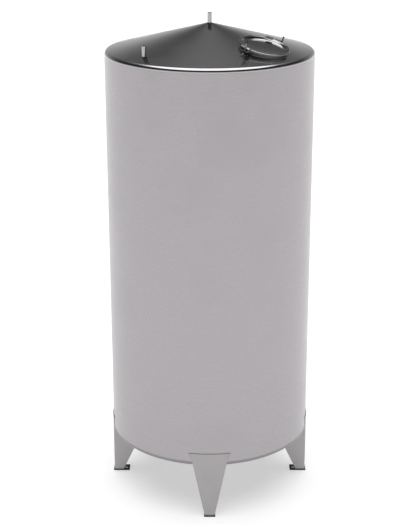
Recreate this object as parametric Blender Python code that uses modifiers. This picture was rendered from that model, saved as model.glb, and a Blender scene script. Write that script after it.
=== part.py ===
"""Upright stainless storage tank with a cone roof, a cone bottom and four folded sheet legs.

Run with: blender --background --python part.py
The origin is on the tank's axis at floor level. The front of the tank looks along -Y.
"""

import math

import bmesh
import bpy
from mathutils import Matrix, Vector

# Driving dimensions of the vessel, in metres
SHELL_RADIUS = 0.900
SHELL_BOTTOM = 0.5424
SHELL_TOP = 3.9836
HEAD_SKIRT = 0.010
SHEET = 0.003
CONE_ANGLE = math.radians(14.65)
KNUCKLE_RADIUS = 0.032
JOINT_GAP = 0.0003
VESSEL_SEGMENTS = 96
KNUCKLE_STEPS = 4

# Legs and their foot plates
LEG_SHEET = 0.006
LEG_FOLD_RADIUS = 0.010
LEG_FOLD_STEPS = 3
LEG_FACE_STEPS = 14
LEG_FACE_SINK = 0.0002
LEG_FOOT_WIDTH = 0.090
LEG_EDGE_WIDTH = 0.304
LEG_LAP_WIDTH = 0.372
LEG_LAP_TOP = 0.620
LEG_EDGE_HEIGHT = 0.5255
FLANGE_FOOT_DEPTH = 0.080
FLANGE_LEAN = 0.43
FOOT_LENGTH = 0.150
FOOT_WIDTH = 0.100
FOOT_THICKNESS = 0.010
FOOT_OUTER_RADIUS = 0.9135
FOOT_HOLE_POSITION = 0.7955
FOOT_HOLE_RADIUS = 0.015
LEG_TURNS = {"right": 0.0, "back": 90.0, "left": 180.0, "front": 270.0}

# Pipe stubs
STUB_RADIUS = 0.019
STUB_WALL = 0.0015
STUB_SEGMENTS = 32
VENT_HEIGHT = 0.0795
NOZZLE_HEIGHT = 0.082
NOZZLE_DISTANCE = 0.748
NOZZLE_AZIMUTH = math.radians(-45.68)
STUB_INSIDE = 0.030
DRAIN_RADIUS = 0.0255
DRAIN_LENGTH = 0.080

# Manway: sizes along its own axis are heights above the roof's surface
MANWAY_DISTANCE = 0.605
MANWAY_AZIMUTH = math.radians(47.4)
MANWAY_SEGMENTS = 48
NECK_RADIUS = 0.203
NECK_TOP = 0.0252
NECK_BOTTOM = -0.040
NECK_LIP_RADIUS = 0.2085
NECK_LIP_HEIGHT = 0.005
GASKET_INNER = 0.1975
GASKET_OUTER = 0.2065
LID_RADIUS = 0.2127
LID_TOP = 0.036
LID_SHEET = 0.0025
LID_CURL_RADIUS = 0.0045
LID_SHOULDER_POSITION = 0.197
LID_SHOULDER_RADIUS = 0.006
LID_CORNER_POSITION = 0.172
LID_CORNER_RADIUS = 0.012
LID_DISH_FLOOR = 0.014
LID_DISH_SAG = 0.006
LID_SAG_POSITION = 0.100
LID_SAG_SHARE = 0.62

# Hinge
HINGE_ANGLE = math.radians(111.0)
HINGE_RADIUS = 0.230
HINGE_HEIGHT = 0.027
HINGE_SHIFT = 0.0305
HINGE_PIN_RADIUS = 0.006
HINGE_BARREL_RADIUS = 0.0115
HINGE_BARREL_WIDTH = 0.062
HINGE_EAR_THICKNESS = 0.005
HINGE_EAR_RADIUS = 0.0105
HINGE_PAD_INNER = -0.052
HINGE_PAD_OUTER = -0.012
HINGE_PAD_BOTTOM = -0.030
HINGE_PAD_TOP = -0.0095
HINGE_SLOT_INNER = -0.0225
HINGE_SIDE_GAP = 0.001
HINGE_BORE_RADIUS = 0.0065
HINGE_STRAP_THICKNESS = 0.005
HINGE_STRAP_REACH = 0.046
PIN_TAIL = 0.010
PIN_REACH = 0.0615
PIN_BEND_RADIUS = 0.010
PIN_BEND_STEPS = 5
PIN_HANDLE_HEIGHT = 0.030
PIN_HANDLE_LEAN = math.radians(10.0)
PIN_KNOB_RADIUS = 0.0085
PIN_KNOB_SEAT = 0.8

# Latch
LATCH_ANGLE = math.radians(-94.0)
LATCH_RADIUS = 0.225
LATCH_LUG_WIDTH = 0.092
LATCH_LUG_INNER = -0.027
LATCH_LUG_OUTER = 0.012
LATCH_LUG_THICKNESS = 0.005
LATCH_SCREW_RADIUS = 0.006
LATCH_SCREW_BOTTOM = -0.002
LATCH_SCREW_TOP = 0.074
LATCH_SCREW_TIP = 0.002
LATCH_COLLAR_RADIUS = 0.011
LATCH_COLLAR_HEIGHT = 0.007
LATCH_BRACKET_WIDTH = 0.044
LATCH_BRACKET_INNER = -0.034
LATCH_BRACKET_TOP = 0.012
LATCH_BRACKET_BOTTOM = -0.006
LATCH_BRACKET_TOE = -0.016
LATCH_BRACKET_THICKNESS = 0.007
LATCH_HOLE_RADIUS = 0.0085
LATCH_HUB_RADIUS = 0.0115
LATCH_HUB_HEIGHT = 0.014
LATCH_WING_THICKNESS = 0.006
LATCH_WING_TURN = math.radians(-22.0)
# The right half of the wing's outline, from its foot round its tip to the hub
LATCH_WING_HALF = [(0.012, 0.003), (0.0275, 0.030), (0.0235, 0.036), (0.0165, 0.034), (0.006, 0.0135)]

# Cutters reach past what they cut by this much
CUT_REACH = 0.1
ROUND_CUT_SEGMENTS = 32

# Values worked out from the driving dimensions
KNUCKLE_DROP = KNUCKLE_RADIUS * math.cos(CONE_ANGLE)
CONE_EDGE_RADIUS = SHELL_RADIUS - KNUCKLE_RADIUS * (1.0 - math.sin(CONE_ANGLE))
CONE_RISE = CONE_EDGE_RADIUS * math.tan(CONE_ANGLE)
HEAD_HEIGHT = HEAD_SKIRT + KNUCKLE_DROP + CONE_RISE
ROOF_APEX = SHELL_TOP + HEAD_HEIGHT
BOTTOM_APEX = SHELL_BOTTOM - HEAD_HEIGHT
HINGE_EARS_WIDTH = HINGE_BARREL_WIDTH + 2 * (HINGE_SIDE_GAP + HINGE_EAR_THICKNESS)


def clear_scene():
    """Remove every object of the open file."""
    for item in list(bpy.data.objects):
        bpy.data.objects.remove(item, do_unlink=True)


def new_collection(name):
    """Make a collection under the scene."""
    collection = bpy.data.collections.new(name)
    bpy.context.scene.collection.children.link(collection)
    return collection


def make_material(name, color, roughness, metallic):
    """Make a Principled material with one finish."""
    material = bpy.data.materials.new(name)
    material.use_nodes = True
    shader = material.node_tree.nodes["Principled BSDF"]
    shader.inputs["Base Color"].default_value = (*color, 1.0)
    shader.inputs["Roughness"].default_value = roughness
    shader.inputs["Metallic"].default_value = metallic
    return material


def add_piece(name, mesh, material):
    """Put a mesh in the tank's collection as a named piece."""
    piece = bpy.data.objects.new(name, mesh)
    mesh.materials.append(material)
    PIECES.objects.link(piece)
    return piece


def add_cutter(name, mesh):
    """Put a mesh in the cutters' collection, hidden from renders."""
    cutter = bpy.data.objects.new(name, mesh)
    cutter.hide_render = True
    cutter.display_type = "WIRE"
    CUTTERS.objects.link(cutter)
    return cutter


def add_empty(name, parent=None):
    """Make an empty that other pieces are placed from."""
    empty = bpy.data.objects.new(name, None)
    empty.parent = parent
    PIECES.objects.link(empty)
    return empty


def line_mesh(name, points, closed):
    """Make a mesh of one line of points in the XZ plane."""
    vertices = [(x, 0.0, z) for x, z in points]
    edges = [(index, index + 1) for index in range(len(points) - 1)]
    if closed:
        edges.append((len(points) - 1, 0))
    mesh = bpy.data.meshes.new(name)
    mesh.from_pydata(vertices, edges, [])
    return mesh


def add_turn(piece, segments):
    """Turn a profile round the piece's own Z axis."""
    turn = piece.modifiers.new("Turn", "SCREW")
    turn.axis = "Z"
    turn.angle = math.tau
    turn.steps = segments
    turn.render_steps = segments
    turn.use_merge_vertices = True
    turn.merge_threshold = 0.0001
    turn.use_smooth_shade = True


def turned(name, points, material, segments, closed=True):
    """Make a turned piece from a profile that runs down its outer side."""
    piece = add_piece(name, line_mesh(name, points, closed), material)
    add_turn(piece, segments)
    return piece


def thicken(piece, thickness, offset):
    """Give an open surface its sheet thickness."""
    solid = piece.modifiers.new("Sheet", "SOLIDIFY")
    solid.thickness = thickness
    solid.offset = offset
    solid.use_even_offset = True


def cut(piece, cutter):
    """Take a cutter's shape out of a piece."""
    boolean = piece.modifiers.new(cutter.name, "BOOLEAN")
    boolean.operation = "DIFFERENCE"
    boolean.solver = "EXACT"
    boolean.object = cutter


def ring_profile(inner, outer, bottom, top):
    """Give the four corners of a tube's wall, outer side first."""
    return [(outer, top), (outer, bottom), (inner, bottom), (inner, top)]


def cylinder_cutter(name, radius, low, high, segments):
    """Make a cylinder along Z between two heights."""
    mesh = bpy.data.meshes.new(name)
    shape = bmesh.new()
    bmesh.ops.create_cone(shape, cap_ends=True, segments=segments, radius1=radius, radius2=radius,
                          depth=high - low, matrix=Matrix.Translation((0.0, 0.0, (low + high) / 2)))
    shape.to_mesh(mesh)
    shape.free()
    return add_cutter(name, mesh)


def box_cutter(name, low, high):
    """Make a box between two corners."""
    mesh = bpy.data.meshes.new(name)
    shape = bmesh.new()
    bmesh.ops.create_cube(shape, size=1.0)
    size = Vector(high) - Vector(low)
    middle = (Vector(high) + Vector(low)) / 2
    bmesh.ops.transform(shape, matrix=Matrix.Translation(middle) @ Matrix.Diagonal((*size, 1.0)),
                        verts=shape.verts)
    shape.to_mesh(mesh)
    shape.free()
    return add_cutter(name, mesh)


def extruded(name, outline, width, material):
    """Make a plate from an outline in the XZ plane, as wide as given along Y."""
    mesh = bpy.data.meshes.new(name)
    mesh.from_pydata([(x, 0.0, z) for x, z in outline], [], [range(len(outline))])
    piece = add_piece(name, mesh, material)
    thicken(piece, width, 0.0)
    return piece


def arc_points(center, radius, start, end, steps):
    """Give points on an arc, angles in degrees."""
    points = []
    for step in range(steps + 1):
        angle = math.radians(start + (end - start) * step / steps)
        points.append((center[0] + radius * math.cos(angle), center[1] + radius * math.sin(angle)))
    return points


def smooth_by_angle(piece, degrees=35.0):
    """Shade a piece smooth apart from its sharp edges."""
    piece.data.shade_smooth()
    piece.data.set_sharp_from_angle(angle=math.radians(degrees))


def head_profile():
    """Give the roof's outer profile, from its apex down to the shell."""
    center = (SHELL_RADIUS - KNUCKLE_RADIUS, SHELL_TOP + HEAD_SKIRT + JOINT_GAP)
    start = 90.0 - math.degrees(CONE_ANGLE)
    knuckle = arc_points(center, KNUCKLE_RADIUS, start, 0.0, KNUCKLE_STEPS)
    return [(0.0, ROOF_APEX + JOINT_GAP)] + knuckle + [(SHELL_RADIUS, SHELL_TOP + JOINT_GAP)]


def bottom_profile(clearance=0.0):
    """Give the bottom's outer profile, from the shell down to its apex."""
    center = (SHELL_RADIUS - KNUCKLE_RADIUS, SHELL_BOTTOM - HEAD_SKIRT - JOINT_GAP)
    end = -90.0 + math.degrees(CONE_ANGLE)
    knuckle = arc_points(center, KNUCKLE_RADIUS + clearance, 0.0, end, KNUCKLE_STEPS)
    drop = clearance / math.cos(CONE_ANGLE)
    skirt = [(SHELL_RADIUS + clearance, SHELL_BOTTOM - JOINT_GAP)]
    return skirt + knuckle + [(0.0, BOTTOM_APEX - JOINT_GAP - drop)]


def roof_height(distance):
    """Give the height of the roof's surface at a distance from the axis."""
    return ROOF_APEX + JOINT_GAP - distance * math.tan(CONE_ANGLE)


def build_shell():
    """Make the upright cylinder."""
    profile = ring_profile(SHELL_RADIUS - SHEET, SHELL_RADIUS, SHELL_BOTTOM, SHELL_TOP)
    turned("shell", profile, STEEL_SHELL, VESSEL_SEGMENTS)


def build_roof(cutters):
    """Make the cone roof with its rounded edge and the holes that the fittings pass through."""
    roof = turned("roof_cone", head_profile(), STEEL_ROOF, VESSEL_SEGMENTS, closed=False)
    thicken(roof, SHEET, -1.0)
    for cutter in cutters:
        cut(roof, cutter)


def build_bottom():
    """Make the cone bottom with its central hole."""
    bottom = turned("bottom_cone", bottom_profile(), STEEL_ROOF, VESSEL_SEGMENTS, closed=False)
    thicken(bottom, SHEET, -1.0)
    hole = cylinder_cutter("drain_hole", DRAIN_RADIUS + JOINT_GAP, BOTTOM_APEX - CUT_REACH,
                           BOTTOM_APEX + CUT_REACH, STUB_SEGMENTS)
    cut(bottom, hole)


def leg_width(height):
    """Give a leg's width at a height: it tapers to the foot and flares over the shell."""
    if height <= LEG_EDGE_HEIGHT:
        share = (height - FOOT_THICKNESS) / (LEG_EDGE_HEIGHT - FOOT_THICKNESS)
        return LEG_FOOT_WIDTH + (LEG_EDGE_WIDTH - LEG_FOOT_WIDTH) * share
    share = (height - LEG_EDGE_HEIGHT) / (LEG_LAP_TOP - LEG_EDGE_HEIGHT)
    return LEG_EDGE_WIDTH + (LEG_LAP_WIDTH - LEG_EDGE_WIDTH) * share


def leg_section(height):
    """Give the folded sheet's outer line at a height, from one flange's end to the other's."""
    face_radius = SHELL_RADIUS + LEG_SHEET - LEG_FACE_SINK
    half = leg_width(height) / 2
    edge_angle = math.asin((half - LEG_FOLD_RADIUS) / (face_radius - LEG_FOLD_RADIUS))
    fold_x = (face_radius - LEG_FOLD_RADIUS) * math.cos(edge_angle)
    fold_y = (face_radius - LEG_FOLD_RADIUS) * math.sin(edge_angle)
    flange_end = SHELL_RADIUS - FLANGE_FOOT_DEPTH - FLANGE_LEAN * (height - FOOT_THICKNESS)
    start = -90.0
    end = -math.degrees(edge_angle)
    side = [(flange_end, -half)]
    side += arc_points((fold_x, -fold_y), LEG_FOLD_RADIUS, start, end, LEG_FOLD_STEPS)
    face = []
    for step in range(1, LEG_FACE_STEPS):
        angle = edge_angle * (2.0 * step / LEG_FACE_STEPS - 1.0)
        face.append((face_radius * math.cos(angle), face_radius * math.sin(angle)))
    mirrored = [(x, -y) for x, y in reversed(side)]
    return side + face + mirrored


def leg_mesh():
    """Loft the folded sheet from the foot plate to the top of its lap on the shell."""
    levels = [FOOT_THICKNESS + JOINT_GAP, LEG_EDGE_HEIGHT, LEG_LAP_TOP]
    mesh = bpy.data.meshes.new("leg")
    shape = bmesh.new()
    rows = []
    for height in levels:
        rows.append([shape.verts.new((x, y, height)) for x, y in leg_section(height)])
    for lower, upper in zip(rows, rows[1:]):
        for index in range(len(lower) - 1):
            shape.faces.new((lower[index], lower[index + 1], upper[index + 1], upper[index]))
    bmesh.ops.recalc_face_normals(shape, faces=shape.faces)
    shape.to_mesh(mesh)
    shape.free()
    return mesh


def build_legs():
    """Make the four legs and foot plates, one of each on every quarter of the shell."""
    profile = [(0.0, LEG_LAP_TOP + CUT_REACH), (SHELL_RADIUS + JOINT_GAP, LEG_LAP_TOP + CUT_REACH)]
    profile += bottom_profile(JOINT_GAP)
    vessel = add_cutter("vessel_clearance", line_mesh("vessel_clearance", profile, False))
    add_turn(vessel, VESSEL_SEGMENTS)
    for side, turn in LEG_TURNS.items():
        leg = add_piece("leg_" + side, leg_mesh(), STEEL_LEG)
        leg.rotation_euler.z = math.radians(turn)
        thicken(leg, LEG_SHEET, -1.0)
        cut(leg, vessel)
        build_foot(side, turn)


def build_foot(side, turn):
    """Make one foot plate with its anchor hole inboard of the leg."""
    name = "foot_plate_" + side
    mesh = bpy.data.meshes.new(name)
    shape = bmesh.new()
    bmesh.ops.create_cube(shape, size=1.0)
    middle = Vector((FOOT_OUTER_RADIUS - FOOT_LENGTH / 2, 0.0, FOOT_THICKNESS / 2))
    size = (FOOT_LENGTH, FOOT_WIDTH, FOOT_THICKNESS, 1.0)
    bmesh.ops.transform(shape, matrix=Matrix.Translation(middle) @ Matrix.Diagonal(size), verts=shape.verts)
    shape.to_mesh(mesh)
    shape.free()
    foot = add_piece(name, mesh, DARK_STEEL)
    foot.rotation_euler.z = math.radians(turn)
    hole = cylinder_cutter("anchor_hole_" + side, FOOT_HOLE_RADIUS, -CUT_REACH, CUT_REACH, ROUND_CUT_SEGMENTS)
    hole.parent = foot
    hole.location.x = FOOT_HOLE_POSITION
    cut(foot, hole)


def build_stub(name, radius, location, low, high):
    """Make a plain pipe stub between two heights over a place."""
    stub = turned(name, ring_profile(radius - STUB_WALL, radius, low, high), STEEL_PIPE, STUB_SEGMENTS)
    stub.location = location
    return stub


def build_stubs():
    """Make the vent at the apex, the nozzle near the roof's edge and the drain, with their holes."""
    apex = Vector((0.0, 0.0, ROOF_APEX))
    build_stub("vent_pipe", STUB_RADIUS, apex, -STUB_INSIDE, VENT_HEIGHT)
    vent_hole = cylinder_cutter("vent_hole", STUB_RADIUS + JOINT_GAP, -CUT_REACH, CUT_REACH, STUB_SEGMENTS)
    vent_hole.location = apex

    base = Vector((NOZZLE_DISTANCE * math.sin(NOZZLE_AZIMUTH), -NOZZLE_DISTANCE * math.cos(NOZZLE_AZIMUTH),
                   roof_height(NOZZLE_DISTANCE)))
    build_stub("roof_nozzle", STUB_RADIUS, base, -STUB_INSIDE, NOZZLE_HEIGHT)
    nozzle_hole = cylinder_cutter("nozzle_hole", STUB_RADIUS + JOINT_GAP, -CUT_REACH, CUT_REACH, STUB_SEGMENTS)
    nozzle_hole.location = base

    bottom = Vector((0.0, 0.0, BOTTOM_APEX))
    build_stub("drain_nozzle", DRAIN_RADIUS, bottom, -DRAIN_LENGTH, STUB_INSIDE)
    return vent_hole, nozzle_hole


def manway_matrix():
    """Place the manway on the roof: X down the slope, Y along the rim, Z straight out of the roof."""
    outward = Vector((math.sin(MANWAY_AZIMUTH), -math.cos(MANWAY_AZIMUTH), 0.0))
    along = Vector((math.cos(MANWAY_AZIMUTH), math.sin(MANWAY_AZIMUTH), 0.0))
    up = Vector((0.0, 0.0, 1.0))
    down_slope = outward * math.cos(CONE_ANGLE) - up * math.sin(CONE_ANGLE)
    normal = outward * math.sin(CONE_ANGLE) + up * math.cos(CONE_ANGLE)
    place = outward * MANWAY_DISTANCE + up * roof_height(MANWAY_DISTANCE)
    matrix = Matrix((down_slope, along, normal)).transposed().to_4x4()
    matrix.translation = place
    return matrix


def ring_matrix(angle, radius, height):
    """Give a place on the manway's rim: X outward, Y along the rim, Z as the manway's."""
    spot = Vector((radius * math.cos(angle), radius * math.sin(angle), height))
    return Matrix.Translation(spot) @ Matrix.Rotation(angle, 4, "Z")


def build_neck(manway):
    """Make the manway's lipped neck and the gasket on its top edge."""
    lip_bottom = NECK_TOP - NECK_LIP_HEIGHT
    profile = [(NECK_LIP_RADIUS, NECK_TOP), (NECK_LIP_RADIUS, lip_bottom), (NECK_RADIUS, lip_bottom),
               (NECK_RADIUS, NECK_BOTTOM), (NECK_RADIUS - SHEET, NECK_BOTTOM), (NECK_RADIUS - SHEET, NECK_TOP)]
    neck = turned("manway_neck", profile, STEEL_NECK, MANWAY_SEGMENTS)
    neck.parent = manway
    profile = ring_profile(GASKET_INNER, GASKET_OUTER, NECK_TOP + JOINT_GAP, LID_TOP - LID_SHEET - JOINT_GAP)
    gasket = turned("manway_gasket", profile, RUBBER, MANWAY_SEGMENTS)
    gasket.parent = manway
    hole = cylinder_cutter("manway_hole", NECK_RADIUS + JOINT_GAP, -CUT_REACH, CUT_REACH, MANWAY_SEGMENTS)
    hole.parent = manway
    return hole


def lid_profile():
    """Give the lid's upper side: a dish, a flat rim and an edge curled under."""
    floor = [(0.0, LID_DISH_FLOOR - LID_DISH_SAG),
             (LID_SAG_POSITION, LID_DISH_FLOOR - LID_DISH_SAG * LID_SAG_SHARE)]
    center = (LID_CORNER_POSITION, LID_DISH_FLOOR + LID_CORNER_RADIUS)
    corner = arc_points(center, LID_CORNER_RADIUS, -80.0, -18.0, 3)
    center = (LID_SHOULDER_POSITION, LID_TOP - LID_SHOULDER_RADIUS)
    shoulder = arc_points(center, LID_SHOULDER_RADIUS, 162.0, 90.0, 3)
    edge = (LID_RADIUS - LID_CURL_RADIUS, LID_TOP - LID_CURL_RADIUS)
    curl = arc_points(edge, LID_CURL_RADIUS, 90.0, -90.0, 5)
    return floor + corner + shoulder + curl


def ride_on_lid(piece, lid_hinge, place):
    """Fasten a piece to the lid's hinge, placed in the manway's frame."""
    piece.parent = lid_hinge
    piece.matrix_parent_inverse = lid_hinge.matrix_basis.inverted()
    piece.matrix_basis = place


def build_lid(lid_hinge):
    """Make the pressed lid."""
    lid = turned("manway_lid", lid_profile(), STEEL_LID, MANWAY_SEGMENTS, closed=False)
    thicken(lid, LID_SHEET, -1.0)
    ride_on_lid(lid, lid_hinge, Matrix.Identity(4))


def cross_bore(name, radius, parent):
    """Make a cutter for a bore along the hinge's pin."""
    bore = cylinder_cutter(name, radius, -CUT_REACH, CUT_REACH, ROUND_CUT_SEGMENTS)
    bore.parent = parent
    bore.rotation_euler.x = math.pi / 2
    return bore


def build_hinge_bracket(manway, hinge_seat, neck_clearance):
    """Make the bracket on the neck: a pad with two ears that hold the pin."""
    ear = arc_points((0.0, 0.0), HINGE_EAR_RADIUS, 205.0, -25.0, 10)
    outline = [(HINGE_PAD_INNER, HINGE_PAD_BOTTOM), (HINGE_PAD_INNER, HINGE_PAD_TOP),
               (HINGE_PAD_OUTER, HINGE_PAD_TOP)] + ear + [(HINGE_PAD_OUTER, HINGE_PAD_BOTTOM)]
    bracket = extruded("hinge_bracket", outline, HINGE_EARS_WIDTH, STEEL_FITTING)
    bracket.parent = manway
    bracket.matrix_basis = hinge_seat
    slot_half = HINGE_BARREL_WIDTH / 2 + HINGE_SIDE_GAP
    slot = box_cutter("hinge_slot", (HINGE_SLOT_INNER, -slot_half, -CUT_REACH), (CUT_REACH, slot_half, CUT_REACH))
    slot.parent = bracket
    cut(bracket, slot)
    cut(bracket, neck_clearance)
    cut(bracket, cross_bore("hinge_bracket_bore", HINGE_BORE_RADIUS, bracket))
    smooth_by_angle(bracket)


def build_hinge_arm(lid_hinge, hinge_seat):
    """Make the strap on the lid's rim and the barrel that turns between the ears."""
    under = LID_TOP + JOINT_GAP - HINGE_HEIGHT
    top = under + HINGE_STRAP_THICKNESS
    meet = 180.0 - math.degrees(math.asin(under / HINGE_BARREL_RADIUS))
    barrel = arc_points((0.0, 0.0), HINGE_BARREL_RADIUS, 90.0, meet - 360.0, 20)
    outline = [(-HINGE_STRAP_REACH, under), (-HINGE_STRAP_REACH, top), (-HINGE_BARREL_RADIUS, top)] + barrel
    arm = extruded("lid_hinge_arm", outline, HINGE_BARREL_WIDTH, STEEL_FITTING)
    ride_on_lid(arm, lid_hinge, hinge_seat)
    cut(arm, cross_bore("hinge_arm_bore", HINGE_PIN_RADIUS + JOINT_GAP, arm))
    smooth_by_angle(arm)


def knob_profile():
    """Give the half outline of a ball with a flat seat at its foot."""
    middle = PIN_KNOB_RADIUS * PIN_KNOB_SEAT
    seat_angle = -math.degrees(math.asin(PIN_KNOB_SEAT))
    ball = arc_points((0.0, middle), PIN_KNOB_RADIUS, 90.0, seat_angle, 7)
    return [(0.0, middle + PIN_KNOB_RADIUS)] + ball[1:] + [(0.0, ball[-1][1])]


def build_hinge_pin(lid_hinge, hinge_seat):
    """Make the pin: a rod through the barrel whose end is bent up as a handle, with a knob."""
    bend = PIN_BEND_RADIUS
    corner = -(HINGE_EARS_WIDTH / 2 + PIN_REACH + bend)
    handle = Vector((math.sin(PIN_HANDLE_LEAN), 0.0, math.cos(PIN_HANDLE_LEAN)))
    along = Vector((0.0, -1.0, 0.0))
    center = Vector((0.0, corner, 0.0)) - along * bend + handle * bend
    points = [Vector((0.0, HINGE_EARS_WIDTH / 2 + PIN_TAIL, 0.0))]
    for step in range(PIN_BEND_STEPS + 1):
        angle = math.pi / 2 * step / PIN_BEND_STEPS
        points.append(center - handle * bend * math.cos(angle) + along * bend * math.sin(angle))
    end = center + along * bend + handle * (PIN_HANDLE_HEIGHT - bend)
    points.append(end)
    curve = bpy.data.curves.new("hinge_pin", "CURVE")
    curve.dimensions = "3D"
    curve.bevel_depth = HINGE_PIN_RADIUS
    curve.bevel_resolution = 4
    curve.use_fill_caps = True
    spline = curve.splines.new("POLY")
    spline.points.add(len(points) - 1)
    for point, place in zip(spline.points, points):
        point.co = (*place, 1.0)
    curve.materials.append(DARK_STEEL)
    pin = bpy.data.objects.new("hinge_pin", curve)
    PIECES.objects.link(pin)
    ride_on_lid(pin, lid_hinge, hinge_seat)

    knob = turned("hinge_pin_knob", knob_profile(), DARK_STEEL, 16, closed=False)
    lean = Matrix.Rotation(PIN_HANDLE_LEAN, 4, "Y")
    seat = Matrix.Translation(end + handle * JOINT_GAP) @ lean
    ride_on_lid(knob, lid_hinge, hinge_seat @ seat)


def build_latch(manway, lid_hinge, neck_clearance):
    """Make the latch: a lug on the lid, a captive wing screw and a bracket on the neck."""
    seat = ring_matrix(LATCH_ANGLE, LATCH_RADIUS, 0.0)
    lug_bottom = LID_TOP + JOINT_GAP
    lug_top = lug_bottom + LATCH_LUG_THICKNESS

    outline = [(LATCH_LUG_INNER, lug_bottom), (LATCH_LUG_INNER, lug_top), (LATCH_LUG_OUTER, lug_top),
               (LATCH_LUG_OUTER, lug_bottom)]
    lug = extruded("latch_lug", outline, LATCH_LUG_WIDTH, STEEL_FITTING)
    ride_on_lid(lug, lid_hinge, seat)
    lug_hole = cylinder_cutter("latch_lug_hole", LATCH_SCREW_RADIUS + JOINT_GAP, -CUT_REACH, CUT_REACH,
                               ROUND_CUT_SEGMENTS)
    lug_hole.parent = lug
    cut(lug, lug_hole)

    outline = [(LATCH_BRACKET_INNER, LATCH_BRACKET_BOTTOM), (LATCH_BRACKET_INNER, LATCH_BRACKET_TOP),
               (LATCH_LUG_OUTER, LATCH_BRACKET_TOP), (LATCH_LUG_OUTER, LATCH_BRACKET_TOP - LATCH_BRACKET_THICKNESS),
               (LATCH_BRACKET_TOE, LATCH_BRACKET_BOTTOM)]
    bracket = extruded("latch_bracket", outline, LATCH_BRACKET_WIDTH, STEEL_FITTING)
    bracket.parent = manway
    bracket.matrix_basis = seat
    cut(bracket, neck_clearance)
    bracket_hole = cylinder_cutter("latch_bracket_hole", LATCH_HOLE_RADIUS, -CUT_REACH, CUT_REACH,
                                   ROUND_CUT_SEGMENTS)
    bracket_hole.parent = bracket
    cut(bracket, bracket_hole)

    collar = lug_top + JOINT_GAP
    profile = [(0.0, LATCH_SCREW_TOP), (LATCH_SCREW_RADIUS, LATCH_SCREW_TOP),
               (LATCH_SCREW_RADIUS, collar + LATCH_COLLAR_HEIGHT),
               (LATCH_COLLAR_RADIUS, collar + LATCH_COLLAR_HEIGHT), (LATCH_COLLAR_RADIUS, collar),
               (LATCH_SCREW_RADIUS, collar), (LATCH_SCREW_RADIUS, LATCH_SCREW_BOTTOM + LATCH_SCREW_TIP),
               (LATCH_SCREW_RADIUS - LATCH_SCREW_TIP, LATCH_SCREW_BOTTOM), (0.0, LATCH_SCREW_BOTTOM)]
    screw = turned("latch_screw", profile, STEEL_FITTING, 24, closed=False)
    ride_on_lid(screw, lid_hinge, seat)

    hub = cylinder_cutter("latch_wing_hub", LATCH_HUB_RADIUS, 0.0, LATCH_HUB_HEIGHT, ROUND_CUT_SEGMENTS)
    outline = [(-x, z) for x, z in LATCH_WING_HALF] + list(reversed(LATCH_WING_HALF))
    wing = extruded("latch_wing", outline, LATCH_WING_THICKNESS, DARK_STEEL)
    turn = Matrix.Translation((0.0, 0.0, LATCH_SCREW_TOP + JOINT_GAP)) @ Matrix.Rotation(LATCH_WING_TURN, 4, "Z")
    ride_on_lid(wing, lid_hinge, seat @ turn)
    hub.parent = wing
    join = wing.modifiers.new("Hub", "BOOLEAN")
    join.operation = "UNION"
    join.solver = "EXACT"
    join.object = hub


def build_manway():
    """Make the manway with its hinged lid, and give the hole that it needs in the roof."""
    manway = add_empty("manway_frame")
    manway.matrix_basis = manway_matrix()
    hole = build_neck(manway)
    hinge_seat = ring_matrix(HINGE_ANGLE, HINGE_RADIUS, HINGE_HEIGHT) @ Matrix.Translation((0.0, HINGE_SHIFT, 0.0))
    lid_hinge = add_empty("lid_hinge", manway)
    lid_hinge.matrix_basis = hinge_seat
    build_lid(lid_hinge)
    build_hinge_bracket(manway, hinge_seat, hole)
    build_hinge_arm(lid_hinge, hinge_seat)
    build_hinge_pin(lid_hinge, hinge_seat)
    build_latch(manway, lid_hinge, hole)
    return hole


clear_scene()
PIECES = new_collection("vertical_storage_tank")
CUTTERS = new_collection("cutters")
STEEL_SHELL = make_material("shell_steel", (0.42, 0.41, 0.42), 0.30, 1.0)
STEEL_ROOF = make_material("roof_steel", (0.40, 0.39, 0.40), 0.22, 1.0)
STEEL_LEG = make_material("leg_steel", (0.40, 0.39, 0.39), 0.35, 1.0)
STEEL_PIPE = make_material("pipe_steel", (0.45, 0.44, 0.45), 0.25, 1.0)
STEEL_NECK = make_material("neck_steel", (0.40, 0.39, 0.40), 0.25, 1.0)
STEEL_LID = make_material("lid_steel", (0.42, 0.41, 0.42), 0.20, 1.0)
STEEL_FITTING = make_material("fitting_steel", (0.45, 0.44, 0.45), 0.30, 1.0)
DARK_STEEL = make_material("dark_steel", (0.03, 0.03, 0.03), 0.45, 0.6)
RUBBER = make_material("gasket_rubber", (0.03, 0.03, 0.03), 0.80, 0.0)

build_shell()
manway_hole = build_manway()
stub_holes = build_stubs()
build_roof([manway_hole, *stub_holes])
build_bottom()
build_legs()
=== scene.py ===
"""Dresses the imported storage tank: smooth sheet, welds, fittings, finishes, floor, light and camera.

Every length is in metres. The tank stands on its axis at floor level, with its front leg towards -Y.
"""

import math

import bmesh
import bpy
from bpy.props import FloatProperty, FloatVectorProperty, IntProperty, PointerProperty
from mathutils import Matrix, Vector


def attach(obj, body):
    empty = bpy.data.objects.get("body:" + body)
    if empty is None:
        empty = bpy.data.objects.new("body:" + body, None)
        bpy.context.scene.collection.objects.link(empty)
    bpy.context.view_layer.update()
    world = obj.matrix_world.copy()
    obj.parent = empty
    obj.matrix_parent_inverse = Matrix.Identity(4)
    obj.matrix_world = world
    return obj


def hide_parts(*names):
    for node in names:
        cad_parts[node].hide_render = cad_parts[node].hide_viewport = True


bl_info = {
    "name": "Storage tank dressing",
    "version": (1, 0, 0),
    "blender": (4, 5, 0),
    "location": "View3D > Sidebar > Tank",
    "description": "Builds the visible sheet, welds, fittings and studio of a storage tank",
    "category": "Object",
}

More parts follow.
